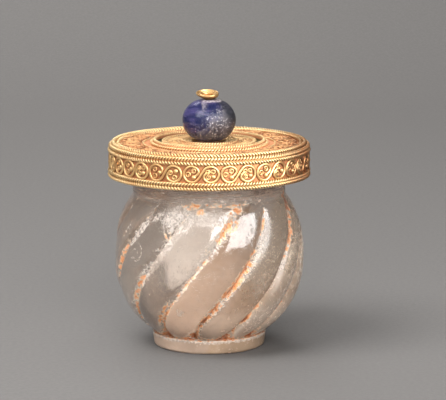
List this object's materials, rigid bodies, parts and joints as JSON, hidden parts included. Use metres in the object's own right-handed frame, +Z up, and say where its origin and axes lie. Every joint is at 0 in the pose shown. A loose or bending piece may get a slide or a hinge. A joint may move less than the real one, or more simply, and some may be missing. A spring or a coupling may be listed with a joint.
{
  "type": "lidded cosmetic jar",
  "caption": "Small round jar of rock crystal with slanting flutes, a drilled cavity and a low foot, closed by a lift-off gold filigree lid with a stone bead as its knob.",
  "frame": {"origin": "middle of the foot's underside, on the surface that the jar stands on", "axes": "+Z up the jar's axis to the knob; -Y is the front, as pictured; +X to the right seen from the front"},
  "size_m": [0.032, 0.032, 0.0405],
  "materials": {
    "rock_crystal": "polished quartz, worn and slightly milky",
    "gold": "soft worn gold",
    "blue_stone": "polished, deep blue with clear patches"
  },
  "bodies": {
    "root": {"crystal_jar": "rock_crystal", "gold_lid": "gold", "stone_bead": "blue_stone", "knob_pin": "gold"}
  },
  "joints": []
}
